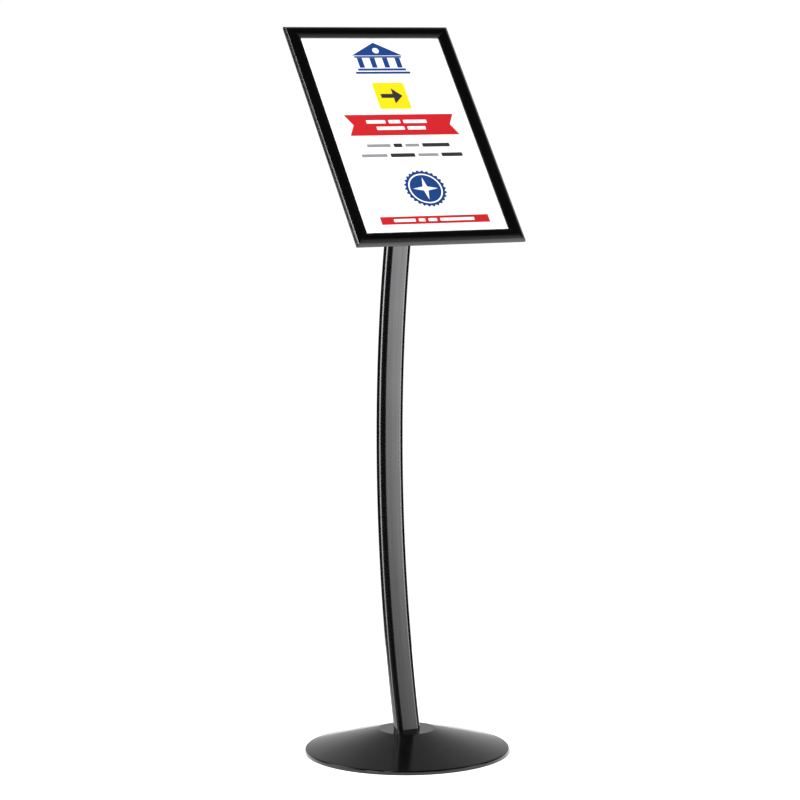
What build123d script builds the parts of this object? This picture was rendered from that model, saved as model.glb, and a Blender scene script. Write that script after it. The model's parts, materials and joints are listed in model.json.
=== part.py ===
from build123d import *
from math import cos, degrees, radians, sin, sqrt

# Curved pedestal sign stand: a weighted round base, a bent oval pole and a tilted snap frame.
# Millimetres. Origin on the floor under the middle of the base, +Z up, the sign faces -Y.

# ---------------------------------------------------------------- driving dimensions
# Base: a spun steel cover over a cast ballast plate, standing on a glued rubber mat.
base_radius = 178.0
plateau_radius = 49.5
plateau_height = 40.0
rim_crease_height = 6.8
cover_gauge = 1.5
cover_lift = 1.2
plateau_edge_round = 6.0
rim_round = 3.0
ballast_radius = 168.0
ballast_boss_radius = 44.0
ballast_slope_run = 20.0
ballast_lift = 2.0
ballast_rim_thickness = 4.0
ballast_hub_thickness = 11.0
foot_mat_radius = 160.0

# Pole: an oval tube bent to one large radius, leaning back at its foot.
pole_width = 48.0
pole_depth = 23.2
pole_wall = 2.0
pole_bend_radius = 1860.0
foot_lean = 15.0
pole_length = 980.0
insert_clearance = 0.2
anchor_length = 34.0
plug_length = 42.0
neck_reach = 60.0
run_below_floor = 8.0

# Poster, frame and the snap profile around it.
poster_width = 279.4
poster_height = 431.8
poster_inset = 18.0
profile_width = 25.6
frame_width = poster_width + 2 * poster_inset
frame_height = poster_height + 2 * poster_inset
frame_tilt = 39.1
frame_centre_y = 5.4
frame_centre_z = 1070.4

# Layers of the frame, measured from its back plane towards the reader.
rail_floor = 1.0
rail_reach = 25.0
panel_thickness = 2.2
poster_thickness = 0.2
cover_thickness = 0.5
panel_inset = 14.6
cover_inset = 15.6

# Hinge bead along the outer edge of each flap, in profile coordinates (inward, outward).
hinge_inset = 1.8
hinge_height = 1.8
bead_radius = 0.9
socket_inner = 1.0
socket_outer = 1.8
socket_tip = 70.0
socket_heel = 240.0
mouth_near = 2.4
mouth_far = 4.2
bead_end_gap = 6.0

# Flap section in profile coordinates: short outer wall, bevel, shoulder, ridge and inner lip.
wall_foot = 3.0
wall_top = 3.2
wall_round = (0.14, 3.56)
bevel_foot = (0.45, 3.8)
bevel = (2.5, 5.3)
shoulder = (4.6, 6.6)
outer_slope = (8.7, 7.75)
ridge_inset = 13.5
ridge_height = 8.15
inner_slope = (20.2, 7.55)
lip_top = 5.6
lip_foot = 4.2
lip_droop = 0.7
skin = 1.0
inner_slope_under = (19.8, 6.6)
outer_slope_under = (8.95, 6.75)
shoulder_under = (5.1, 5.8)
bevel_under = (3.0, 4.55)
wall_under = 3.1

# The wall's foot tips inward as the flap opens, so it is cut back from the corners.
foot_relief_length = 1.6
foot_relief_top = 3.85

# Mitred corner keys and leaf springs in the rails' channel.
key_inset = 5.2
key_width = 7.6
key_arm = 40.0
key_thickness = 1.2
spring_width = 10.0
spring_low = 1.1
spring_high = 1.5
spring_foot_outer = 5.3
spring_foot_inner = 12.7
spring_bend = 10.1
spring_gauge = 0.4
spring_tip = (7.6, 5.4)
spring_arc = (9.35, 3.6)

# Mitre gaps, measured square to the joint.
rail_mitre_gap = 0.05
flap_mitre_gap = 0.15
mitre_margin = 10.0
mitre_reach = 40.0

# Pivot behind the frame.
crossbar_gauge = 1.6
crossbar_depth = 9.0
crossbar_web_half = 20.0
crossbar_foot_half = 24.0
crossbar_half_height = 38.0
crossbar_end_inset = 6.5
hat_slant = 1.0
friction_washer_thickness = 1.5
friction_washer_radius = 27.0
head_plate_thickness = 6.0
head_plate_radius = 28.0
head_plate_drop = 30.0
pivot_radius = 4.0
pivot_clearance = 0.08
pivot_washer_radius = 12.0
pivot_head_radius = 9.5
pivot_head_height = 4.0
pivot_square = 8.0
square_clearance = 0.1
nut_across_flats = 13.0
nut_height = 6.5
nut_collar_height = 1.8
nut_collar_step = 0.8
gusset_offset = 16.0
gusset_thickness = 4.0
gusset_top = 6.0
gusset_depth = 14.5
gusset_slant = 6.0
gusset_overlap = 0.1
neck_overlap = 1.0
bolt_tail = 1.0
plain_washer_thickness = 1.6

# Fasteners.
base_bolt_radius = 4.0
base_bolt_spacing = 26.0
base_bolt_y = 4.0
base_bolt_top = 62.0
tapping_run_out = 1.0
base_bolt_head_height = 5.3
base_bolt_across_flats = 13.0
base_washer_radius = 9.0
bolt_hole_clearance = 0.5
washer_clearance = 0.2
counterbore_radius = 10.5
counterbore_top = 14.0
thread_clearance = 0.05
screw_radius = 2.5
screw_hole_clearance = 0.1
screw_head_radius = 5.0
screw_head_height = 2.4
screw_length = 11.0
strap_screw_radius = 1.6
strap_screw_head_radius = 3.6
strap_screw_head_height = 2.2
strap_screw_reach = 2.2
strap_screw_inset = 10.8
strap_screw_spacing_x = frame_width - 2 * strap_screw_inset
strap_screw_spacing_y = 62.0
screw_distances = (20.0, pole_length - 30.0, pole_length - 12.0)

# ---------------------------------------------------------------- shared geometry
bend_centre_y = -pole_bend_radius * cos(radians(foot_lean))
bend_centre_z = plateau_height + pole_bend_radius * sin(radians(foot_lean))
bend_axis = Axis((0, bend_centre_y, bend_centre_z), (1, 0, 0))
insert_width = pole_width - 2 * pole_wall - 2 * insert_clearance
insert_depth = pole_depth - 2 * pole_wall - 2 * insert_clearance
head_back = -crossbar_depth - friction_washer_thickness - head_plate_thickness
nut_back = head_back - plain_washer_thickness - nut_height
cone_slope = (plateau_height - rim_crease_height) / (base_radius - plateau_radius)

frame_plane = Plane(
    origin=(0, frame_centre_y, frame_centre_z),
    x_dir=(1, 0, 0),
    z_dir=(0, -cos(radians(frame_tilt)), sin(radians(frame_tilt))),
)

# Side of the frame: middle of its outer edge and inward direction, in frame coordinates.
sides = {
    "top": ((0, frame_height / 2), (0, -1), frame_width),
    "bottom": ((0, -frame_height / 2), (0, 1), frame_width),
    "left": ((-frame_width / 2, 0), (1, 0), frame_height),
    "right": ((frame_width / 2, 0), (-1, 0), frame_height),
}


def cone_height(radius):
    """Height of the cover's outer surface on its sloping part."""
    return plateau_height - cone_slope * (radius - plateau_radius)


def pole_plane(distance):
    """Plane square to the pole's centre line, a distance along it from the foot."""
    angle = radians(foot_lean) - distance / pole_bend_radius
    origin_y = bend_centre_y + pole_bend_radius * cos(angle)
    origin_z = bend_centre_z - pole_bend_radius * sin(angle)
    return Plane(origin=(0, origin_y, origin_z), x_dir=(1, 0, 0), z_dir=(0, sin(angle), cos(angle)))


def pole_back_plane(distance):
    """Plane on the pole's centre line whose normal points out of the pole's back."""
    section = pole_plane(distance)
    return Plane(origin=section.origin, x_dir=section.x_dir, z_dir=section.y_dir)


def bend_angle(length):
    """Turn of the pole's bend over a length of its centre line."""
    return degrees(length / pole_bend_radius)


def inward_direction(side):
    across, up = sides[side][1]
    return frame_plane.x_dir * across + frame_plane.y_dir * up


def profile_plane(side, along=0.0):
    """Section plane of one side: x runs inward, y out of the frame, z along the side."""
    inward = inward_direction(side)
    lengthwise = inward.cross(frame_plane.z_dir)
    edge_x, edge_y = sides[side][0]
    origin = frame_plane.from_local_coords((edge_x, edge_y, 0)) + lengthwise * along
    return Plane(origin=origin, x_dir=inward, z_dir=lengthwise)


def mitre_plane(side):
    """Plane on the back of one side: x runs along it, y inward."""
    section = profile_plane(side)
    return Plane(origin=section.origin, x_dir=section.z_dir, z_dir=frame_plane.z_dir)


def upright_plane(across):
    """Plane square to the frame's width, a distance to one side: x runs up the frame, y out of it."""
    origin = frame_plane.from_local_coords((across, 0, 0))
    return Plane(origin=origin, x_dir=frame_plane.y_dir, z_dir=frame_plane.x_dir)


def mitre_outline(length, gap):
    """Corners of the trapezium that one mitred side may fill, with room outside its edge."""
    half = length / 2 - gap * sqrt(2)
    return [
        (-half - mitre_margin, -mitre_margin),
        (half + mitre_margin, -mitre_margin),
        (half - mitre_reach, mitre_reach),
        (-half + mitre_reach, mitre_reach),
    ]


# Rail section as strips: inward from, inward to, height from, height to.
rail_strips = [
    (hinge_inset, rail_reach, 0, rail_floor),
    (4.2, 5.0, rail_floor, 3.2),
    (5.0, 6.8, 2.4, 3.2),
    (10.6, 13.0, 2.4, 3.2),
    (13.0, 14.2, rail_floor, 3.2),
]


def around_hinge(angle, radius):
    """Point of the profile at an angle and radius about the hinge bead."""
    turn = radians(angle)
    return (hinge_inset + radius * cos(turn), hinge_height + radius * sin(turn))


# Outline that cuts the socket open: out along its tip, round the outside, back along its heel.
socket_mouth = [
    around_hinge(socket_tip, 0),
    around_hinge(socket_tip, mouth_near),
    around_hinge((2 * socket_tip + socket_heel) / 3, mouth_far),
    around_hinge((socket_tip + 2 * socket_heel) / 3, mouth_far),
    around_hinge(socket_heel, mouth_near),
]

# Gusset between the head's neck and plate, in (up, out) of the frame.
gusset_outline = [
    (gusset_top, head_back + gusset_overlap),
    (-head_plate_drop, head_back + gusset_overlap),
    (-head_plate_drop - gusset_slant, head_back - gusset_depth),
]

# Ends of the flap section's curves.
ridge = (ridge_inset, ridge_height)
ridge_under = (ridge_inset, ridge_height - skin)
lip_under = (profile_width - skin, lip_top - lip_droop)

# Leaf spring: the outline of its foot, and the outside of its curved leaf.
spring_outer_bend = (spring_bend + spring_gauge, spring_high)
spring_outer_arc = (spring_arc[0] + spring_gauge, spring_arc[1] + spring_gauge / 2)
spring_outer_tip = (spring_tip[0] + 0.75 * spring_gauge, spring_tip[1] + 0.75 * spring_gauge)
spring_foot = [
    (spring_bend, spring_high),
    (spring_foot_outer, spring_high),
    (spring_foot_outer, spring_low),
    (spring_foot_inner, spring_low),
    (spring_foot_inner, spring_high),
    spring_outer_bend,
]

# Web that joins the flap's hinge bead to its outer wall.
bead_web = [
    (1.16, 2.44),
    (0.6, wall_foot),
    (0.6, 3.8),
    (1.5, 3.95),
    (1.88, 2.7),
]

# Hat section of the crossbar, in (up, out) of the frame.
hat_outline = [
    (-crossbar_half_height, 0),
    (-crossbar_foot_half, 0),
    (-crossbar_web_half, crossbar_gauge - crossbar_depth),
    (crossbar_web_half, crossbar_gauge - crossbar_depth),
    (crossbar_foot_half, 0),
    (crossbar_half_height, 0),
    (crossbar_half_height, -crossbar_gauge),
    (crossbar_foot_half + hat_slant, -crossbar_gauge),
    (crossbar_web_half + hat_slant, -crossbar_depth),
    (-crossbar_web_half - hat_slant, -crossbar_depth),
    (-crossbar_foot_half - hat_slant, -crossbar_gauge),
    (-crossbar_half_height, -crossbar_gauge),
]


# ---------------------------------------------------------------- base
with BuildPart() as base_cover:
    with BuildSketch(Plane.XZ) as cover_section:
        inner_radius = base_radius - cover_gauge
        inner_drop = cover_gauge * sqrt(1 + cone_slope**2)
        inner_plateau_radius = plateau_radius - (inner_drop - cover_gauge) / cone_slope
        with BuildLine():
            Polyline(
                (0, plateau_height),
                (plateau_radius, plateau_height),
                (base_radius, rim_crease_height),
                (base_radius, cover_lift),
                (inner_radius, cover_lift),
                (inner_radius, cone_height(inner_radius) - inner_drop),
                (inner_plateau_radius, plateau_height - cover_gauge),
                (0, plateau_height - cover_gauge),
                close=True,
            )
        make_face()
        plateau_edge = cover_section.vertices().sort_by_distance((plateau_radius, plateau_height))[0]
        fillet(plateau_edge, radius=plateau_edge_round)
        rim_edge = cover_section.vertices().sort_by_distance((base_radius, rim_crease_height))[0]
        fillet(rim_edge, radius=rim_round)
    revolve(axis=Axis.Z)
    with Locations((0, base_bolt_y, plateau_height)):
        with GridLocations(base_bolt_spacing, 1, 2, 1):
            Hole(radius=base_bolt_radius + bolt_hole_clearance, depth=3 * cover_gauge)
base_cover.part.label = "base_cover"
export_step(base_cover.part, "parts/base_cover.step")

with BuildPart() as base_weight:
    with BuildSketch(Plane.XZ):
        boss_top = plateau_height - cover_gauge
        hub_top = ballast_lift + ballast_hub_thickness
        with BuildLine():
            Polyline(
                (0, ballast_lift),
                (ballast_radius, ballast_lift),
                (ballast_radius, ballast_lift + ballast_rim_thickness),
                (ballast_boss_radius + ballast_slope_run, hub_top),
                (ballast_boss_radius, hub_top),
                (ballast_boss_radius, boss_top),
                (0, boss_top),
                close=True,
            )
        make_face()
    revolve(axis=Axis.Z)
    with BuildSketch(Plane.XY.offset(ballast_lift)):
        with Locations((0, base_bolt_y)):
            with GridLocations(base_bolt_spacing, 1, 2, 1):
                Circle(radius=counterbore_radius)
    extrude(amount=counterbore_top - ballast_lift, mode=Mode.SUBTRACT)
    with BuildSketch(Plane.XY.offset(ballast_lift)):
        with Locations((0, base_bolt_y)):
            with GridLocations(base_bolt_spacing, 1, 2, 1):
                Circle(radius=base_bolt_radius + bolt_hole_clearance)
    extrude(amount=plateau_height, mode=Mode.SUBTRACT)
base_weight.part.label = "base_weight"
export_step(base_weight.part, "parts/base_weight.step")

with BuildPart() as foot_mat:
    with BuildSketch(Plane.XY):
        Circle(radius=foot_mat_radius)
    extrude(amount=ballast_lift)
foot_mat.part.label = "foot_mat"
export_step(foot_mat.part, "parts/foot_mat.step")

with BuildPart() as base_washers:
    with BuildSketch(Plane.XY.offset(counterbore_top - plain_washer_thickness)):
        with Locations((0, base_bolt_y)):
            with GridLocations(base_bolt_spacing, 1, 2, 1):
                Circle(radius=base_washer_radius)
                Circle(radius=base_bolt_radius + washer_clearance, mode=Mode.SUBTRACT)
    extrude(amount=plain_washer_thickness)
base_washers.part.label = "base_washers"
export_step(base_washers.part, "parts/base_washers.step")

with BuildPart() as base_bolts:
    head_top = counterbore_top - plain_washer_thickness
    with BuildSketch(Plane.XY.offset(head_top - base_bolt_head_height)):
        with Locations((0, base_bolt_y)):
            with GridLocations(base_bolt_spacing, 1, 2, 1):
                RegularPolygon(radius=base_bolt_across_flats / 2, side_count=6, major_radius=False)
    extrude(amount=base_bolt_head_height)
    with BuildSketch(Plane.XY.offset(head_top)):
        with Locations((0, base_bolt_y)):
            with GridLocations(base_bolt_spacing, 1, 2, 1):
                Circle(radius=base_bolt_radius)
    extrude(amount=base_bolt_top - head_top)
base_bolts.part.label = "base_bolts"
export_step(base_bolts.part, "parts/base_bolts.step")

# ---------------------------------------------------------------- pole
with BuildPart() as pole:
    with BuildSketch(pole_plane(-run_below_floor)):
        SlotOverall(pole_width, pole_depth)
        SlotOverall(pole_width - 2 * pole_wall, pole_depth - 2 * pole_wall, mode=Mode.SUBTRACT)
    revolve(axis=bend_axis, revolution_arc=bend_angle(pole_length + run_below_floor))
    split(bisect_by=Plane.XY.offset(plateau_height), keep=Keep.TOP)
    for distance in screw_distances:
        with BuildSketch(pole_back_plane(distance)):
            Circle(radius=screw_radius + screw_hole_clearance)
        extrude(amount=pole_depth, mode=Mode.SUBTRACT)
pole.part.label = "pole"
export_step(pole.part, "parts/pole.step")

with BuildPart() as pole_anchor:
    with BuildSketch(pole_plane(-run_below_floor)):
        SlotOverall(insert_width, insert_depth)
    revolve(axis=bend_axis, revolution_arc=bend_angle(anchor_length + run_below_floor))
    split(bisect_by=Plane.XY.offset(plateau_height), keep=Keep.TOP)
    with BuildSketch(Plane.XY.offset(plateau_height)):
        with Locations((0, base_bolt_y)):
            with GridLocations(base_bolt_spacing, 1, 2, 1):
                Circle(radius=base_bolt_radius + thread_clearance)
    extrude(amount=base_bolt_top + tapping_run_out - plateau_height, mode=Mode.SUBTRACT)
    with BuildSketch(pole_back_plane(screw_distances[0])):
        Circle(radius=screw_radius + thread_clearance)
    extrude(amount=pole_depth, mode=Mode.SUBTRACT)
pole_anchor.part.label = "pole_anchor"
export_step(pole_anchor.part, "parts/pole_anchor.step")

with BuildPart() as pole_screws:
    for distance in screw_distances:
        with BuildSketch(pole_back_plane(distance).offset(pole_depth / 2)):
            Circle(radius=screw_head_radius)
        extrude(amount=screw_head_height, taper=25)
        with BuildSketch(pole_back_plane(distance).offset(pole_depth / 2 - screw_length)):
            Circle(radius=screw_radius)
        extrude(amount=screw_length)
pole_screws.part.label = "pole_screws"
export_step(pole_screws.part, "parts/pole_screws.step")

# ---------------------------------------------------------------- head and pivot
with BuildPart() as head_bracket:
    with BuildSketch(pole_plane(pole_length - plug_length)):
        SlotOverall(insert_width, insert_depth)
    revolve(axis=bend_axis, revolution_arc=bend_angle(plug_length))
    for distance in screw_distances[1:]:
        with BuildSketch(pole_back_plane(distance)):
            Circle(radius=screw_radius + thread_clearance)
        extrude(amount=pole_depth, mode=Mode.SUBTRACT)
    with BuildSketch(pole_plane(pole_length)):
        SlotOverall(pole_width + neck_overlap, pole_depth + neck_overlap)
    extrude(amount=neck_reach)
    split(bisect_by=frame_plane.offset(head_back + head_plate_thickness / 2), keep=Keep.BOTTOM)
    with BuildSketch(frame_plane.offset(head_back)):
        with Locations((0, -head_plate_drop / 2)):
            SlotCenterToCenter(head_plate_drop, 2 * head_plate_radius, rotation=90)
    extrude(amount=head_plate_thickness)
    for across in (-gusset_offset, gusset_offset):
        with BuildSketch(upright_plane(across)):
            with BuildLine():
                Polyline(*gusset_outline, close=True)
            make_face()
        extrude(amount=gusset_thickness / 2, both=True)
    with BuildSketch(frame_plane.offset(head_back)):
        Circle(radius=pivot_radius + pivot_clearance)
    extrude(amount=head_plate_thickness, mode=Mode.SUBTRACT)
head_bracket.part.label = "head_bracket"
export_step(head_bracket.part, "parts/head_bracket.step")

with BuildPart() as friction_washer:
    with BuildSketch(frame_plane.offset(-crossbar_depth - friction_washer_thickness)):
        Circle(radius=friction_washer_radius)
        Circle(radius=pivot_radius + washer_clearance, mode=Mode.SUBTRACT)
    extrude(amount=friction_washer_thickness)
friction_washer.part.label = "friction_washer"
export_step(friction_washer.part, "parts/friction_washer.step")

with BuildPart() as pivot_washer:
    with BuildSketch(frame_plane.offset(head_back - plain_washer_thickness)):
        Circle(radius=pivot_washer_radius)
        Circle(radius=pivot_radius + washer_clearance, mode=Mode.SUBTRACT)
    extrude(amount=plain_washer_thickness)
pivot_washer.part.label = "pivot_washer"
export_step(pivot_washer.part, "parts/pivot_washer.step")

with BuildPart() as pivot_nut:
    with BuildSketch(frame_plane.offset(nut_back)):
        RegularPolygon(radius=nut_across_flats / 2, side_count=6, major_radius=False)
    extrude(amount=nut_height)
    with BuildSketch(frame_plane.offset(nut_back - nut_collar_height)):
        Circle(radius=nut_across_flats / 2 - nut_collar_step)
    extrude(amount=nut_collar_height)
    with BuildSketch(frame_plane.offset(nut_back - nut_collar_height)):
        Circle(radius=pivot_radius + thread_clearance)
    extrude(amount=nut_height + nut_collar_height, mode=Mode.SUBTRACT)
pivot_nut.part.label = "pivot_nut"
export_step(pivot_nut.part, "parts/pivot_nut.step")

with BuildPart() as pivot_bolt:
    with BuildSketch(frame_plane.offset(crossbar_gauge - crossbar_depth)):
        Circle(radius=pivot_head_radius)
    extrude(amount=pivot_head_height, taper=30)
    with BuildSketch(frame_plane.offset(-crossbar_depth)):
        Rectangle(pivot_square, pivot_square)
    extrude(amount=crossbar_gauge)
    with BuildSketch(frame_plane.offset(nut_back - nut_collar_height - bolt_tail)):
        Circle(radius=pivot_radius)
    extrude(amount=bolt_tail + nut_collar_height - crossbar_depth - nut_back)
pivot_bolt.part.label = "pivot_bolt"
export_step(pivot_bolt.part, "parts/pivot_bolt.step")

# ---------------------------------------------------------------- crossbar behind the frame
with BuildPart() as crossbar:
    with BuildSketch(upright_plane(0)):
        with BuildLine():
            Polyline(*hat_outline, close=True)
        make_face()
    extrude(amount=frame_width / 2 - crossbar_end_inset, both=True)
    with BuildSketch(frame_plane.offset(-crossbar_depth)):
        Rectangle(pivot_square + square_clearance, pivot_square + square_clearance)
    extrude(amount=crossbar_gauge, mode=Mode.SUBTRACT)
    with BuildSketch(frame_plane.offset(-crossbar_gauge)):
        with GridLocations(strap_screw_spacing_x, strap_screw_spacing_y, 2, 2):
            Circle(radius=strap_screw_radius + washer_clearance)
    extrude(amount=crossbar_gauge, mode=Mode.SUBTRACT)
crossbar.part.label = "crossbar"
export_step(crossbar.part, "parts/crossbar.step")

with BuildPart() as crossbar_screws:
    with BuildSketch(frame_plane.offset(-crossbar_gauge - strap_screw_head_height)):
        with GridLocations(strap_screw_spacing_x, strap_screw_spacing_y, 2, 2):
            Circle(radius=strap_screw_head_radius)
    extrude(amount=strap_screw_head_height)
    with BuildSketch(frame_plane.offset(-crossbar_gauge)):
        with GridLocations(strap_screw_spacing_x, strap_screw_spacing_y, 2, 2):
            Circle(radius=strap_screw_radius)
    extrude(amount=crossbar_gauge + strap_screw_reach)
crossbar_screws.part.label = "crossbar_screws"
export_step(crossbar_screws.part, "parts/crossbar_screws.step")

# ---------------------------------------------------------------- frame rails and flaps
for side, (_, _, length) in sides.items():
    with BuildPart() as rail:
        with BuildSketch(profile_plane(side)):
            # Floor, connector channel with its two lips, and the stop that the sheets lie against.
            for left, right, low, high in rail_strips:
                with Locations((left, low)):
                    Rectangle(right - left, high - low, align=(Align.MIN, Align.MIN))
            with Locations((hinge_inset, hinge_height)):
                Circle(radius=socket_outer)
            with Locations((hinge_inset, hinge_height)):
                Circle(radius=socket_inner, mode=Mode.SUBTRACT)
            # The socket is open from its tip round to its heel, where the flap swings.
            with BuildLine():
                Polyline(*socket_mouth, close=True)
            make_face(mode=Mode.SUBTRACT)
        extrude(amount=length / 2, both=True)
        with BuildSketch(mitre_plane(side)):
            with BuildLine():
                Polyline(*mitre_outline(length, rail_mitre_gap), close=True)
            make_face()
        extrude(amount=profile_width, both=True, mode=Mode.INTERSECT)
        if side in ("left", "right"):
            with BuildSketch(frame_plane):
                with GridLocations(strap_screw_spacing_x, strap_screw_spacing_y, 2, 2):
                    Circle(radius=strap_screw_radius + thread_clearance)
            extrude(amount=rail_floor, mode=Mode.SUBTRACT)
    rail.part.label = "rail_" + side
    export_step(rail.part, "parts/rail_" + side + ".step")

    with BuildPart() as flap:
        with BuildSketch(profile_plane(side)):
            with BuildLine():
                Line((0, wall_foot), (0, wall_top))
                ThreePointArc((0, wall_top), wall_round, bevel_foot)
                ThreePointArc(bevel_foot, bevel, shoulder)
                ThreePointArc(shoulder, outer_slope, ridge)
                ThreePointArc(ridge, inner_slope, (profile_width, lip_top))
                Line((profile_width, lip_top), (profile_width, lip_foot))
                Line((profile_width, lip_foot), (profile_width - skin, lip_foot))
                Line((profile_width - skin, lip_foot), lip_under)
                ThreePointArc(lip_under, inner_slope_under, ridge_under)
                ThreePointArc(ridge_under, outer_slope_under, shoulder_under)
                ThreePointArc(shoulder_under, bevel_under, (skin, wall_under))
                Line((skin, wall_under), (skin, wall_foot))
                Line((skin, wall_foot), (0, wall_foot))
            make_face()
        extrude(amount=length / 2, both=True)
        with BuildSketch(mitre_plane(side)):
            with BuildLine():
                Polyline(*mitre_outline(length, flap_mitre_gap), close=True)
            make_face()
        extrude(amount=profile_width, both=True, mode=Mode.INTERSECT)
        for end in (-1, 1):
            with BuildSketch(profile_plane(side, end * (length / 2 - foot_relief_length))):
                with Locations((0, wall_foot)):
                    Rectangle(skin, foot_relief_top - wall_foot, align=(Align.MIN, Align.MIN))
            extrude(amount=end * foot_relief_length, mode=Mode.SUBTRACT)
        with BuildSketch(profile_plane(side)):
            with Locations((hinge_inset, hinge_height)):
                Circle(radius=bead_radius)
            with BuildLine():
                Polyline(*bead_web, close=True)
            make_face()
        extrude(amount=length / 2 - bead_end_gap, both=True)
    flap.part.label = "flap_" + side
    export_step(flap.part, "parts/flap_" + side + ".step")

with BuildPart() as corner_keys:
    with BuildSketch(frame_plane.offset(rail_floor)):
        for across in (-1, 1):
            for up in (-1, 1):
                corner_x = across * (frame_width / 2 - key_inset)
                corner_y = up * (frame_height / 2 - key_inset)
                with Locations((corner_x - across * key_arm / 2, corner_y - up * key_width / 2)):
                    Rectangle(key_arm, key_width)
                with Locations((corner_x - across * key_width / 2, corner_y - up * key_arm / 2)):
                    Rectangle(key_width, key_arm)
    extrude(amount=key_thickness)
corner_keys.part.label = "corner_keys"
export_step(corner_keys.part, "parts/corner_keys.step")

with BuildPart() as leaf_springs:
    for side, (_, _, length) in sides.items():
        for along in (-length / 4, length / 4):
            with BuildSketch(profile_plane(side, along)):
                with BuildLine():
                    Polyline(*spring_foot)
                    ThreePointArc(spring_outer_bend, spring_outer_arc, spring_outer_tip)
                    Line(spring_outer_tip, spring_tip)
                    ThreePointArc(spring_tip, spring_arc, (spring_bend, spring_high))
                make_face()
            extrude(amount=spring_width / 2, both=True)
leaf_springs.part.label = "leaf_springs"
export_step(leaf_springs.part, "parts/leaf_springs.step")

# ---------------------------------------------------------------- sheets in the frame
with BuildPart() as back_panel:
    with BuildSketch(frame_plane.offset(rail_floor)):
        Rectangle(frame_width - 2 * panel_inset, frame_height - 2 * panel_inset)
    extrude(amount=panel_thickness)
back_panel.part.label = "back_panel"
export_step(back_panel.part, "parts/back_panel.step")

with BuildPart() as poster:
    with BuildSketch(frame_plane.offset(rail_floor + panel_thickness)):
        Rectangle(poster_width, poster_height)
    extrude(amount=poster_thickness)
poster.part.label = "poster"
export_step(poster.part, "parts/poster.step")

with BuildPart() as cover_sheet:
    with BuildSketch(frame_plane.offset(rail_floor + panel_thickness + poster_thickness)):
        Rectangle(frame_width - 2 * cover_inset, frame_height - 2 * cover_inset)
    extrude(amount=cover_thickness)
cover_sheet.part.label = "cover_sheet"
export_step(cover_sheet.part, "parts/cover_sheet.step")

print("frame top", frame_plane.from_local_coords((0, frame_height / 2, ridge_height)))
print("pole end in frame coordinates", frame_plane.to_local_coords(pole_plane(pole_length).origin))
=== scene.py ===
import json
import math

import bmesh
import bpy
from mathutils import Matrix, Vector


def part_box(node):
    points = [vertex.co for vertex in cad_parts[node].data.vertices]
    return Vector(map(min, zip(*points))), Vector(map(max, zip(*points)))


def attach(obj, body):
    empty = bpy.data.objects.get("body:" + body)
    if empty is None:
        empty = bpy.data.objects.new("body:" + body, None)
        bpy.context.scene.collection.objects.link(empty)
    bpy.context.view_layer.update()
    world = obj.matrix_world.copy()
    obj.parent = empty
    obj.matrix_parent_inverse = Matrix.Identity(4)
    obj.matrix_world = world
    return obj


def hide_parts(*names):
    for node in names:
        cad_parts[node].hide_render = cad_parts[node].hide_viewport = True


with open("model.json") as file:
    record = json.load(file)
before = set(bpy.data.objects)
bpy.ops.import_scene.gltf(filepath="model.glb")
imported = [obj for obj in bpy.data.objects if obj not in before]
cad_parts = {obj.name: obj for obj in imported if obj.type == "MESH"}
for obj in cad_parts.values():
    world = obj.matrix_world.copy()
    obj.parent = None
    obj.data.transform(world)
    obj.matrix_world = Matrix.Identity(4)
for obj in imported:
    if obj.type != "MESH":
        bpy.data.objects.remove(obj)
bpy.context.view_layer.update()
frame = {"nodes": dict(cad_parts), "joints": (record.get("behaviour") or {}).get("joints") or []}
nodes = frame["nodes"]

# ---------------------------------------------------------------- view and studio settings
view_azimuth = math.radians(-25.915)
view_elevation = math.radians(6.542)
view_roll = math.radians(-0.308)
view_distance = 4.87035
aim_height = 0.615535
side_step = -0.00913
lens_mm = 127.43
sensor_mm = 36.0

# The sign face's own directions: across, up the sheet, and out towards the reader.
spin = next(j for j in frame["joints"] if j["name"] == "frame_rotation")
sign_out = Vector(spin["axis"]).normalized()
sign_across = Vector((1, 0, 0))
sign_up = sign_out.cross(sign_across)
# Turn about X that lays the sign's up direction on Y and its outward direction on Z.
sign_turn = -math.atan2(sign_up.z, sign_up.y)
poster_low, poster_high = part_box("poster")
poster_centre = (poster_low + poster_high) / 2


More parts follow.
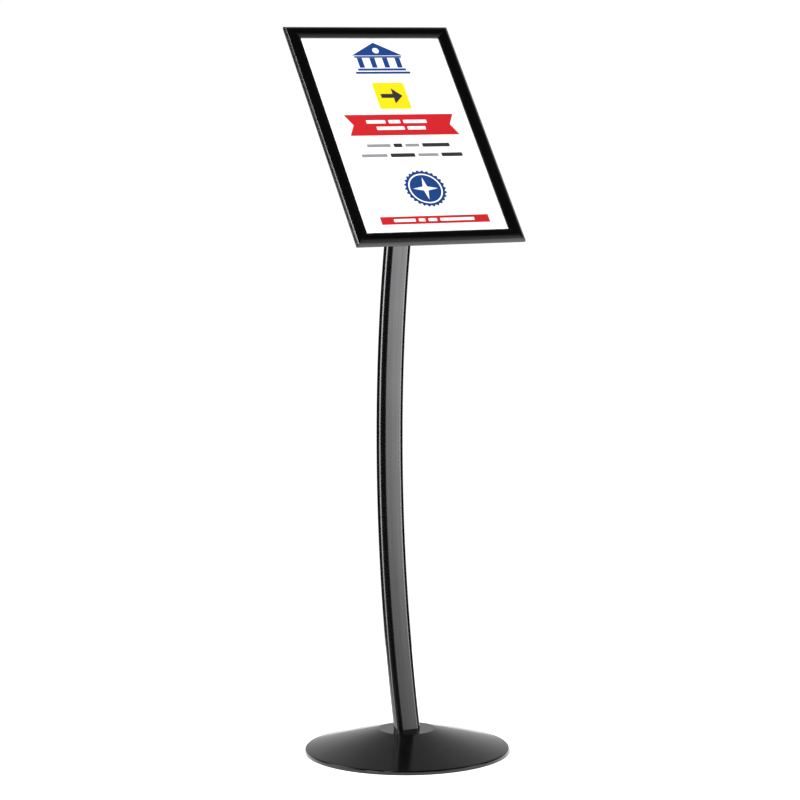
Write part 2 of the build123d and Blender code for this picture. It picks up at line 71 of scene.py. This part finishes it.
# ---------------------------------------------------------------- shader graph helper
class Graph:
    """Adds nodes to one shader tree. Any input may be a number, a colour or another node's output."""

    def __init__(self, tree):
        self.tree = tree
        tree.nodes.clear()

    def add(self, kind, **settings):
        node = self.tree.nodes.new(kind)
        for key, value in settings.items():
            setattr(node, key, value)
        return node

    def put(self, socket, value):
        if isinstance(value, bpy.types.NodeSocket):
            self.tree.links.new(value, socket)
        elif socket.type == "RGBA" and len(value) == 3:
            socket.default_value = (*value, 1)
        else:
            socket.default_value = value

    def math(self, operation, *values):
        node = self.add("ShaderNodeMath", operation=operation)
        for socket, value in zip(node.inputs, values):
            self.put(socket, value)
        return node.outputs[0]

    def vector_math(self, operation, *values):
        node = self.add("ShaderNodeVectorMath", operation=operation)
        for socket, value in zip(node.inputs, values):
            self.put(socket, value)
        return node.outputs["Value"] if operation in ("DOT_PRODUCT", "LENGTH") else node.outputs[0]

    def remap(self, value, low, high, to_low=0.0, to_high=1.0, smooth=True):
        node = self.add("ShaderNodeMapRange", interpolation_type="SMOOTHSTEP" if smooth else "LINEAR")
        for name, number in (("Value", value), ("From Min", low), ("From Max", high)):
            self.put(node.inputs[name], number)
        self.put(node.inputs["To Min"], to_low)
        self.put(node.inputs["To Max"], to_high)
        return node.outputs[0]

    def blend(self, factor, first, second):
        node = self.add("ShaderNodeMix", data_type="RGBA")
        self.put(node.inputs[0], factor)
        self.put(node.inputs[6], first)
        self.put(node.inputs[7], second)
        return node.outputs[2]

    def place(self, vector, scale=(1, 1, 1), turn=(0, 0, 0)):
        node = self.add("ShaderNodeMapping")
        self.put(node.inputs["Vector"], vector)
        node.inputs["Scale"].default_value = scale
        node.inputs["Rotation"].default_value = turn
        return node.outputs[0]

    def noise(self, vector, scale=1.0, detail=3.0, roughness=0.5):
        node = self.add("ShaderNodeTexNoise")
        self.put(node.inputs["Vector"], vector)
        node.inputs["Scale"].default_value = scale
        node.inputs["Detail"].default_value = detail
        node.inputs["Roughness"].default_value = roughness
        return node.outputs["Fac"]

    def cells(self, vector, scale):
        node = self.add("ShaderNodeTexVoronoi")
        self.put(node.inputs["Vector"], vector)
        node.inputs["Scale"].default_value = scale
        return node.outputs["Distance"]

    def bump(self, height, distance, strength=1.0, normal=None):
        node = self.add("ShaderNodeBump")
        node.inputs["Strength"].default_value = strength
        node.inputs["Distance"].default_value = distance
        self.put(node.inputs["Height"], height)
        if normal is not None:
            self.put(node.inputs["Normal"], normal)
        return node.outputs[0]

    def weighted(self, *pairs):
        """Sum of sockets, each times its weight."""
        total = 0.0
        for socket, weight in pairs:
            total = self.math("MULTIPLY_ADD", socket, weight, total)
        return total


def new_material(name):
    material = bpy.data.materials.new(name)
    material.use_nodes = True
    return material, Graph(material.node_tree)


def give(material, *names):
    for name in names:
        slots = nodes[name].data.materials
        slots.clear()
        slots.append(material)


def principled(graph, colour, roughness, normal=None, **uniform):
    """Principled surface: colour, roughness and normal from nodes, everything else set once on its socket."""
    shader = graph.add("ShaderNodeBsdfPrincipled")
    graph.put(shader.inputs["Base Color"], colour)
    graph.put(shader.inputs["Roughness"], roughness)
    if normal is not None:
        graph.put(shader.inputs["Normal"], normal)
    for key, value in uniform.items():
        shader.inputs[key.replace("_", " ")].default_value = value
    out = graph.add("ShaderNodeOutputMaterial")
    graph.put(out.inputs["Surface"], shader.outputs[0])
    return shader


def own_coordinates(graph):
    """The piece's own coordinates in metres; they move with it."""
    return graph.add("ShaderNodeTexCoord").outputs["Object"]


def sign_coordinates(graph):
    """Metres across, up and out of the sign, from the middle of its sheet."""
    shifted = graph.vector_math("SUBTRACT", own_coordinates(graph), tuple(poster_centre))
    return graph.place(shifted, turn=(sign_turn, 0, 0))


def edge_mask(graph, radius):
    """Mask that is 1 near edges, where rounded and true normals differ, and the rounded normal."""
    unlike_from, unlike_to = 0.02, 0.25
    rounded = graph.add("ShaderNodeBevel", samples=4)
    rounded.inputs["Radius"].default_value = radius
    true_normal = graph.add("ShaderNodeNewGeometry").outputs["Normal"]
    alike = graph.vector_math("DOT_PRODUCT", rounded.outputs[0], true_normal)
    unlike = graph.math("SUBTRACT", 1.0, alike)
    return graph.remap(unlike, unlike_from, unlike_to), rounded.outputs[0]


def anodised(name, coordinates, stretch, colour, worn, roughness, spread, wear, depth=0.00003):
    """Drawn and anodised aluminium: fine lines along the bar, cloudy sheen, worn edges."""
    material, g = new_material(name)
    place = coordinates(g)
    lines = g.noise(g.place(place, scale=stretch), detail=4.0, roughness=0.65)
    broad_lines = g.noise(g.place(place, scale=tuple(s * 0.22 for s in stretch)), detail=2.0)
    clouds = g.noise(place, scale=9.0, detail=3.0)
    specks = g.noise(place, scale=2600.0, detail=2.0)
    edges, rounded = edge_mask(g, 0.0007)
    rubbed = g.math("MULTIPLY", edges, g.remap(g.noise(place, scale=60.0, detail=4.0), 0.45, 0.68))
    tone = g.weighted((lines, 0.45), (broad_lines, 0.35), (clouds, 0.2))
    darker = tuple(c * 0.86 for c in colour)
    lighter = tuple(c * 1.14 for c in colour)
    body = g.blend(g.remap(tone, 0.35, 0.65), darker, lighter)
    shown = g.blend(g.math("MULTIPLY", rubbed, wear), body, worn)
    gloss = g.weighted((lines, spread * 0.6), (clouds, spread), (specks, spread * 0.3))
    rough = g.math("ADD", gloss, roughness - spread * 0.95)
    height = g.weighted((lines, 0.7), (specks, 0.3))
    principled(g, shown, rough, g.bump(height, depth, 0.6, rounded), Metallic=1.0)
    return material


def painted(name, colour, worn, roughness, spread, metallic=0.0, grain=900.0, grain_depth=0.00004,
            wear=0.5, dust=0.03):
    """Baked powder paint: orange peel, cloudy gloss, dust on what faces up, thin paint on its edges."""
    material, g = new_material(name)
    place = own_coordinates(g)
    peel = g.noise(place, scale=grain, detail=2.0, roughness=0.45)
    fine = g.noise(place, scale=grain * 4.5, detail=2.0)
    clouds = g.noise(place, scale=14.0, detail=4.0, roughness=0.6)
    edges, rounded = edge_mask(g, 0.0008)
    chips = g.remap(g.noise(place, scale=85.0, detail=5.0, roughness=0.7), 0.5, 0.64)
    facing = g.add("ShaderNodeSeparateXYZ")
    g.put(facing.inputs[0], g.add("ShaderNodeNewGeometry").outputs["Normal"])
    settled = g.math("MULTIPLY", g.remap(facing.outputs["Z"], 0.55, 1.0), g.remap(clouds, 0.35, 0.75))
    body = g.blend(clouds, tuple(c * 0.85 for c in colour), tuple(c * 1.2 for c in colour))
    dusty = g.blend(g.math("MULTIPLY", settled, dust), body, (0.32, 0.30, 0.28))
    shown = g.blend(g.math("MULTIPLY", g.math("MULTIPLY", edges, chips), wear), dusty, worn)
    gloss = g.weighted((clouds, spread), (fine, spread * 0.4), (settled, spread * 0.5))
    rough = g.math("ADD", gloss, roughness - spread * 0.8)
    height = g.weighted((peel, 0.8), (fine, 0.2))
    principled(g, shown, rough, g.bump(height, grain_depth, 0.5, rounded), Metallic=metallic)
    return material


def bare_metal(name, colour, dull, roughness, spread, grain=500.0, brushed=None):
    """Uncoated or plated metal: mottled colour, handling marks, small pits."""
    material, g = new_material(name)
    place = own_coordinates(g)
    stretched = place if brushed is None else g.place(place, scale=brushed)
    brush = g.noise(stretched, scale=grain if brushed is None else 1.0, detail=4.0, roughness=0.6)
    mottle = g.noise(place, scale=120.0, detail=4.0)
    pits = g.cells(place, grain * 1.6)
    _, rounded = edge_mask(g, 0.0004)
    shown = g.blend(g.remap(mottle, 0.3, 0.7), colour, dull)
    rough = g.math("ADD", g.weighted((brush, spread), (mottle, spread)), roughness - spread)
    height = g.weighted((brush, 0.7), (pits, 0.3))
    principled(g, shown, rough, g.bump(height, 0.00003, 0.5, rounded), Metallic=1.0)
    return material


def moulded(name, colour, second, roughness, spread, grain, depth):
    """Rubber, nylon or sheet plastic: speckled colour and a fine moulded grain."""
    material, g = new_material(name)
    place = own_coordinates(g)
    grains = g.cells(place, grain)
    fine = g.noise(place, scale=grain * 2.0, detail=3.0)
    clouds = g.noise(place, scale=18.0, detail=3.0)
    shown = g.blend(g.remap(g.weighted((fine, 0.5), (clouds, 0.5)), 0.35, 0.68), colour, second)
    rough = g.math("ADD", g.weighted((clouds, spread), (fine, spread)), roughness - spread)
    height = g.weighted((grains, 0.6), (fine, 0.4))
    principled(g, shown, rough, g.bump(height, depth, 0.5))
    return material


# ---------------------------------------------------------------- pole
# Metres. The CAD tube's section and bend, without its screw holes, meshed finely for smooth reflections.
pole_width = 0.048
pole_depth = 0.0232
pole_wall = 0.002
pole_bend_radius = 1.86
pole_length = 0.98
foot_lean = math.radians(15)
rows_along = 140
points_per_end = 28


def oval(depth):
    """Outline of the tube or of its bore, as points across the pole and out of its back."""
    radius = depth / 2
    half_flat = (pole_width - pole_depth) / 2
    outline = []
    for side in (1, -1):
        for step in range(points_per_end + 1):
            angle = math.pi * (step / points_per_end - 0.5)
            outline.append((side * (half_flat + radius * math.cos(angle)), side * radius * math.sin(angle)))
    return outline


def bent_tube():
    """The pole as one smooth oval tube on its bend, cut level at the foot and square at the head."""
    foot_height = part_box("pole")[0].z
    centre_y = -pole_bend_radius * math.cos(foot_lean)
    centre_z = foot_height + pole_bend_radius * math.sin(foot_lean)
    head_angle = foot_lean - pole_length / pole_bend_radius
    made = bmesh.new()
    walls = []
    for depth in (pole_depth, pole_depth - 2 * pole_wall):
        rows = []
        for row in range(rows_along + 1):
            ring = []
            for across, out in oval(depth):
                reach = pole_bend_radius + out
                foot_angle = math.asin((centre_z - foot_height) / reach)
                angle = foot_angle + (head_angle - foot_angle) * row / rows_along
                place = (across, centre_y + reach * math.cos(angle), centre_z - reach * math.sin(angle))
                ring.append(made.verts.new(place))
            rows.append(ring)
        walls.append(rows)
    outer, inner = walls
    count = len(outer[0])
    for i in range(count):
        j = (i + 1) % count
        for row in range(rows_along):
            made.faces.new((outer[row][i], outer[row][j], outer[row + 1][j], outer[row + 1][i])).smooth = True
            made.faces.new((inner[row][j], inner[row][i], inner[row + 1][i], inner[row + 1][j])).smooth = True
        made.faces.new((outer[-1][i], outer[-1][j], inner[-1][j], inner[-1][i]))
        made.faces.new((outer[0][j], outer[0][i], inner[0][i], inner[0][j]))
    for edge in made.edges:
        edge.smooth = all(face.smooth for face in edge.link_faces)
    bmesh.ops.recalc_face_normals(made, faces=made.faces)
    mesh = bpy.data.meshes.new("pole_tube")
    made.to_mesh(mesh)
    made.free()
    tube = bpy.data.objects.new("pole_tube", mesh)
    bpy.context.scene.collection.objects.link(tube)
    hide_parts("pole")
    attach(tube, "stand")
    return tube


# ---------------------------------------------------------------- finishes
worn_alloy = (0.42, 0.42, 0.43)
bent_tube().data.materials.append(anodised(
    "pole_black", own_coordinates, (900, 12, 5), (0.125, 0.125, 0.128), worn_alloy,
    0.20, 0.03, 0.25, depth=0.000005,
))
along_sides = (1500, 6, 1500)
along_ends = (6, 1500, 1500)
stretches = {"left": along_sides, "right": along_sides, "top": along_ends, "bottom": along_ends}
for side, stretch in stretches.items():
    give(anodised(
        "flap_black_" + side, sign_coordinates, stretch, (0.12, 0.12, 0.122), worn_alloy,
        0.20, 0.05, 0.05, depth=0.000008,
    ), "flap_" + side)
    give(anodised(
        "rail_black_" + side, sign_coordinates, stretch, (0.05, 0.05, 0.052), worn_alloy,
        0.28, 0.06, 0.25,
    ), "rail_" + side)

give(painted(
    "base_paint", (0.003, 0.003, 0.0032), (0.04, 0.04, 0.04), 0.15, 0.05, grain_depth=0.00003,
    wear=0.4, dust=0.012,
), "base_cover")
give(painted(
    "head_paint", (0.016, 0.016, 0.017), (0.07, 0.07, 0.07), 0.42, 0.10, grain=420.0, grain_depth=0.00009,
), "head_bracket")
give(painted("crossbar_paint", (0.015, 0.015, 0.016), (0.08, 0.08, 0.08), 0.36, 0.10), "crossbar")
give(painted(
    "black_screws", (0.02, 0.02, 0.021), (0.2, 0.2, 0.2), 0.35, 0.12, metallic=0.6, grain=2400.0,
    grain_depth=0.00001, wear=0.8,
), "pole_screws", "crossbar_screws")
give(bare_metal("zinc_plate", (0.62, 0.62, 0.60), (0.48, 0.48, 0.44), 0.34, 0.10),
     "pivot_bolt", "pivot_nut", "pivot_washer", "base_bolts", "base_washers")
give(bare_metal("mill_alloy", (0.70, 0.70, 0.71), (0.60, 0.60, 0.61), 0.36, 0.08, brushed=(900, 900, 8)),
     "pole_anchor")
give(bare_metal("pressed_steel", (0.50, 0.50, 0.52), (0.38, 0.37, 0.37), 0.30, 0.08, grain=1200.0),
     "corner_keys", "leaf_springs")
give(bare_metal("cast_iron", (0.10, 0.098, 0.095), (0.07, 0.062, 0.056), 0.62, 0.12, grain=260.0),
     "base_weight")
give(moulded("foot_rubber", (0.018, 0.018, 0.018), (0.03, 0.03, 0.029), 0.78, 0.08, 700.0, 0.0002),
     "foot_mat")
give(moulded("nylon", (0.74, 0.72, 0.66), (0.68, 0.66, 0.60), 0.42, 0.08, 900.0, 0.00004),
     "friction_washer")
give(moulded("panel_styrene", (0.15, 0.15, 0.155), (0.12, 0.12, 0.124), 0.46, 0.10, 1100.0, 0.00004),
     "back_panel")


# ---------------------------------------------------------------- printed sheet
class Print:
    """Flat shapes in millimetres on the sheet, from its middle. Each shape is a mask, 1 inside."""

    edge_softness = 0.25

    def __init__(self, graph):
        self.g = graph
        parts = graph.add("ShaderNodeSeparateXYZ")
        graph.put(parts.inputs[0], graph.place(sign_coordinates(graph), scale=(1000, 1000, 1000)))
        self.x, self.y = parts.outputs["X"], parts.outputs["Y"]

    def mask(self, distance):
        """Signed distance, negative inside, to a mask."""
        return self.g.remap(distance, -self.edge_softness, self.edge_softness, 1.0, 0.0, smooth=False)

    def box_distance(self, x, y, width, height, radius=0.0):
        g = self.g
        across = g.math("SUBTRACT", g.math("ABSOLUTE", g.math("SUBTRACT", self.x, x)), width / 2 - radius)
        up = g.math("SUBTRACT", g.math("ABSOLUTE", g.math("SUBTRACT", self.y, y)), height / 2 - radius)
        if not radius:
            return g.math("MAXIMUM", across, up)
        outside = g.math("SQRT", g.math(
            "ADD",
            g.math("POWER", g.math("MAXIMUM", across, 0.0), 2.0),
            g.math("POWER", g.math("MAXIMUM", up, 0.0), 2.0),
        ))
        inside = g.math("MINIMUM", g.math("MAXIMUM", across, up), 0.0)
        return g.math("SUBTRACT", g.math("ADD", outside, inside), radius)

    def box(self, x, y, width, height, radius=0.0):
        return self.mask(self.box_distance(x, y, width, height, radius))

    def disc(self, x, y, radius):
        g = self.g
        return self.mask(g.math("SUBTRACT", g.math("SQRT", g.math(
            "ADD",
            g.math("POWER", g.math("SUBTRACT", self.x, x), 2.0),
            g.math("POWER", g.math("SUBTRACT", self.y, y), 2.0),
        )), radius))

    def rosette(self, x, y, radius, depth, teeth):
        """A disc whose edge is waved."""
        g = self.g
        across, up = g.math("SUBTRACT", self.x, x), g.math("SUBTRACT", self.y, y)
        turn = g.math("MULTIPLY", g.math("ARCTAN2", up, across), teeth)
        edge = g.math("MULTIPLY_ADD", g.math("COSINE", turn), depth, radius)
        length = g.math("SQRT", g.math("ADD", g.math("POWER", across, 2.0), g.math("POWER", up, 2.0)))
        return self.mask(g.math("SUBTRACT", length, edge))

    def slope(self, x, y, run, rise):
        """Signed distance from the line through (x, y) along (run, rise), negative on its right."""
        g = self.g
        length = math.hypot(run, rise)
        across = g.math("MULTIPLY", g.math("SUBTRACT", self.x, x), -rise / length)
        up = g.math("MULTIPLY", g.math("SUBTRACT", self.y, y), run / length)
        return g.math("ADD", across, up)

    def corner(self, *points):
        """Mask of a convex shape whose corners are given clockwise."""
        distance = None
        for (x, y), (next_x, next_y) in zip(points, points[1:] + points[:1]):
            edge = self.slope(x, y, next_x - x, next_y - y)
            distance = edge if distance is None else self.g.math("MAXIMUM", distance, edge)
        return self.mask(distance)

    def join(self, *masks):
        whole = masks[0]
        for mask in masks[1:]:
            whole = self.g.math("MAXIMUM", whole, mask)
        return whole

    def cut(self, mask, *holes):
        for hole in holes:
            mask = self.g.math("MULTIPLY", mask, self.g.math("SUBTRACT", 1.0, hole))
        return mask


def bars(sheet, y, height, first, *widths, gap=5.0):
    """A row of plain bars standing for a line of words."""
    masks = []
    for width in widths:
        masks.append(sheet.box(first + width / 2, y, width, height, height * 0.2))
        first += width + gap
    return sheet.join(*masks)


def printed_sheet():
    material, g = new_material("printed_sheet")
    sheet = Print(g)
    place = own_coordinates(g)
    fibres = g.noise(g.place(place), scale=1800.0, detail=4.0)
    clouds = g.noise(place, scale=12.0, detail=2.0)
    paper = g.blend(clouds, (0.92, 0.92, 0.92), (0.95, 0.95, 0.95))

    blue = (0.003, 0.040, 0.19)
    yellow = (0.90, 0.62, 0.001)
    red = (0.50, 0.008, 0.013)
    ink = (0.02, 0.02, 0.022)
    light_ink = (0.25, 0.25, 0.26)
    pale = (0.93, 0.93, 0.93)

    # A small building with four columns under a gable, for a gallery or museum.
    house_x = 3
    gable = sheet.corner((house_x - 49, 170), (house_x, 199), (house_x + 49, 170))
    columns = sheet.join(*(sheet.box(house_x + shift, 154, 10, 22) for shift in (-36, -12, 12, 36)))
    beam = sheet.box(house_x, 167, 90, 4)
    steps = sheet.join(sheet.box(house_x, 139, 92, 5), sheet.box(house_x, 132, 104, 5))
    gallery = sheet.cut(sheet.join(gable, beam, columns, steps), sheet.disc(house_x, 181, 6))
    # A direction arrow on a rounded square.
    tile_y = 81
    tile = sheet.box(3.5, tile_y, 60, 58, 5)
    arrow_head = sheet.corner((6, tile_y + 17), (24, tile_y), (6, tile_y - 17))
    arrow = sheet.join(sheet.box(-4, tile_y, 26, 9), arrow_head)
    # A banner with notched ends.
    banner_y = 18
    banner = sheet.cut(
        sheet.box(3.5, banner_y, 206, 45),
        sheet.corner((-101, banner_y + 24), (-88, banner_y), (-101, banner_y - 24)),
        sheet.corner((108, banner_y - 24), (95, banner_y), (108, banner_y + 24)),
    )
    title = sheet.join(
        bars(sheet, banner_y + 7, 7, -62, 36, 22, 44, gap=6),
        bars(sheet, banner_y - 7, 7, -46, 52, 34, gap=6),
    )
    # Two lines of words, light and heavy.
    first_line, second_line = -26, -47
    light = sheet.join(
        bars(sheet, first_line, 6.5, -76, 44),
        bars(sheet, first_line, 6.5, -4, 26),
        bars(sheet, second_line, 6.5, -92, 48),
        bars(sheet, second_line, 6.5, 14, 38),
    )
    heavy = sheet.join(
        bars(sheet, first_line, 8, -26, 16),
        bars(sheet, first_line, 8, 28, 52),
        bars(sheet, second_line, 8, -38, 46),
        bars(sheet, second_line, 8, 58, 40),
    )
    # A round badge with a compass star.
    badge_x, badge_y = 5, -118
    star_reach, star_waist = 23, 5
    ring = sheet.cut(sheet.disc(badge_x, badge_y, 31), sheet.disc(badge_x, badge_y, 28.5))
    badge = sheet.cut(sheet.rosette(badge_x, badge_y, 37, 1.6, 26), ring)
    star = sheet.join(*(
        sheet.corner(
            (badge_x, badge_y + tall),
            (badge_x + wide, badge_y),
            (badge_x, badge_y - tall),
            (badge_x - wide, badge_y),
        ) for wide, tall in ((star_waist, star_reach), (star_reach, star_waist))
    ))
    footer_y = -183
    footer = sheet.box(3, footer_y, 202, 16)
    footer_words = bars(sheet, footer_y, 6, -74, 40, 12, 16, 64, gap=6)

    shown = paper
    for mask, colour in (
        (gallery, blue), (tile, yellow), (arrow, ink), (banner, red), (title, pale), (light, light_ink),
        (heavy, ink), (badge, blue), (star, pale), (footer, red), (footer_words, pale),
    ):
        shown = g.blend(mask, shown, colour)
    rough = g.math("ADD", g.math("MULTIPLY", fibres, 0.12), 0.42)
    principled(g, shown, rough, g.bump(fibres, 0.00002, 0.4), Specular_IOR_Level=0.1)
    return material


give(printed_sheet(), "poster")


def clear_sheet():
    """Clear anti-glare plastic: nearly all see-through, with a faint haze and wiping marks."""
    material, g = new_material("clear_cover")
    place = own_coordinates(g)
    haze = g.noise(place, scale=700.0, detail=3.0)
    marks = g.noise(g.place(place, scale=(40, 400, 400)), detail=4.0)
    shown = g.blend(marks, (0.14, 0.14, 0.14), (0.18, 0.18, 0.18))
    rough = g.math("ADD", g.weighted((haze, 0.08), (marks, 0.08)), 0.22)
    principled(g, shown, rough, g.bump(haze, 0.00001, 0.3), Alpha=0.05)
    return material


give(clear_sheet(), "cover_sheet")

# ---------------------------------------------------------------- floor, light and camera
floor_radius = 0.9
floor_sides = 96
base_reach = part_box("base_cover")[1].x
floor_mesh = bpy.data.meshes.new("floor")
turns = [math.tau * i / floor_sides for i in range(floor_sides)]
floor_edge = [(floor_radius * math.cos(turn), floor_radius * math.sin(turn), 0.0) for turn in turns]
floor_mesh.from_pydata(floor_edge, [], [list(range(floor_sides))])
floor = bpy.data.objects.new("floor", floor_mesh)
bpy.context.scene.collection.objects.link(floor)
floor_look, g = new_material("pale_floor")
speckle = g.noise(own_coordinates(g), scale=3.0, detail=3.0)
floor_colour = g.blend(speckle, (0.80, 0.80, 0.80), (0.84, 0.84, 0.84))
floor_shader = principled(g, floor_colour, 0.6, Specular_IOR_Level=0.1, Emission_Color=(1, 1, 1, 1))
# The floor glows evenly, as a lit table does, except under the base, where the glow fades out into a painted
# contact shadow.
from_middle = g.vector_math("LENGTH", own_coordinates(g))
floor_glow_with_painted_shadow = g.remap(from_middle, base_reach - 0.002, base_reach + 0.004, 0.0, 0.85)
g.put(floor_shader.inputs["Emission Strength"], floor_glow_with_painted_shadow)
floor_mesh.materials.append(floor_look)

world = bpy.data.worlds.new("studio")
bpy.context.scene.world = world
world.use_nodes = True
g = Graph(world.node_tree)
direction = g.add("ShaderNodeSeparateXYZ")
g.put(direction.inputs[0], g.add("ShaderNodeTexCoord").outputs["Generated"])
# Azimuth from the front, positive towards +X, and elevation, both in degrees.
towards_front = g.math("MULTIPLY", direction.outputs["Y"], -1.0)
heading = g.math("ARCTAN2", direction.outputs["X"], towards_front)
azimuth = g.math("MULTIPLY", heading, math.degrees(1))
elevation = g.math("MULTIPLY", g.math("ARCSINE", direction.outputs["Z"]), math.degrees(1))


def panel(middle, half_width, side_fade, bottom, top, bottom_fade, top_fade, radiance):
    """Soft-edged bright panel of the surroundings. All but the radiance are in degrees."""
    turned = g.math("WRAP", g.math("SUBTRACT", azimuth, middle), 180.0, -180.0)
    beside = g.remap(g.math("ABSOLUTE", turned), half_width, half_width + side_fade, 1.0, 0.0)
    above = g.remap(elevation, top, top + top_fade, 1.0, 0.0)
    below = g.remap(elevation, bottom - bottom_fade, bottom)
    shape = g.math("MULTIPLY", beside, g.math("MULTIPLY", above, below))
    return g.math("MULTIPLY", shape, radiance)


ambient = 0.02
panels = ambient
# What each panel mainly lights from this camera stands beside it.
for settings in (
    (36, 13, 5, -52, -40, 12, 86, 2.35),  # the pole's broad flat, and the bottom and right flaps
    (49, 3, 4, -40, -5, 10, 30, 3.6),  # the bright line at the right of that flat
    (-87, 6, 4, -35, -14, 10, 24, 6.0),  # the bright line down the pole's left side
    (160, 38, 25, 1, 4, 4, 62, 0.62),  # the whole base, and the frame's top and right edges
    (-101, 4, 5, 28, 38, 6, 8, 3.0),  # the left flap, very faintly
    (-122, 6, 5, 25, 45, 6, 8, 6.0),  # the left of the base, and faintly the left flap
    (62, 6, 5, 18, 30, 6, 8, 2.5),  # a short line on the right of the base's rim
    (34, 8, 8, 30, 48, 8, 10, 0.20),  # a thin line along the top and bottom flaps
    (-67, 5, 4, 20, 30, 5, 6, 8.0),  # the left of the base near its rim, and faintly the pole's foot
    (-57, 4, 4, 55, 61, 4, 5, 15.0),  # the left flap's bevel, and faintly the middle of the base
):
    panels = g.math("ADD", panels, panel(*settings))
seen = g.add("ShaderNodeLightPath").outputs["Is Camera Ray"]
background = g.add("ShaderNodeBackground")
g.put(background.inputs["Color"], g.blend(seen, panels, (1.02, 1.02, 1.02)))
out = g.add("ShaderNodeOutputWorld")
g.put(out.inputs["Surface"], background.outputs[0])


def softbox(name, azimuth, elevation, distance, width, height, radiance):
    """Rectangular soft light, aimed at the upper half of the pole and left out of reflections."""
    a, e = math.radians(azimuth), math.radians(elevation)
    aim = Vector((0, 0, 0.75))
    offset = Vector((math.sin(a) * math.cos(e), -math.cos(a) * math.cos(e), math.sin(e))) * distance
    lamp = bpy.data.lights.new(name, "AREA")
    lamp.shape = "RECTANGLE"
    lamp.size, lamp.size_y = width, height
    lamp.energy = radiance * math.pi * width * height
    made = bpy.data.objects.new(name, lamp)
    bpy.context.scene.collection.objects.link(made)
    made.location = aim + offset
    made.rotation_mode = "QUATERNION"
    made.rotation_quaternion = offset.to_track_quat("Z", "Y")
    made.visible_camera = False
    made.visible_glossy = False


softbox("key", azimuth=-40, elevation=48, distance=3.2, width=1.6, height=1.6, radiance=16.5)

camera_data = bpy.data.cameras.new("camera")
camera_data.lens = lens_mm
camera_data.sensor_width = sensor_mm
camera_data.clip_start = 0.1
camera_data.clip_end = 100.0
camera = bpy.data.objects.new("camera", camera_data)
bpy.context.scene.collection.objects.link(camera)
bpy.context.scene.camera = camera
forward = Vector((
    -math.sin(view_azimuth) * math.cos(view_elevation),
    math.cos(view_azimuth) * math.cos(view_elevation),
    -math.sin(view_elevation),
))
right = Vector((math.cos(view_azimuth), math.sin(view_azimuth), 0))
upward = right.cross(forward)
rolled_right = right * math.cos(view_roll) + upward * math.sin(view_roll)
rolled_up = upward * math.cos(view_roll) - right * math.sin(view_roll)
camera.matrix_world = Matrix((
    (rolled_right.x, rolled_up.x, -forward.x, 0),
    (rolled_right.y, rolled_up.y, -forward.y, 0),
    (rolled_right.z, rolled_up.z, -forward.z, 0),
    (0, 0, 0, 1),
))
camera.location = Vector((0, 0, aim_height)) - forward * view_distance + right * side_step
bpy.context.scene.view_settings.view_transform = "Standard"
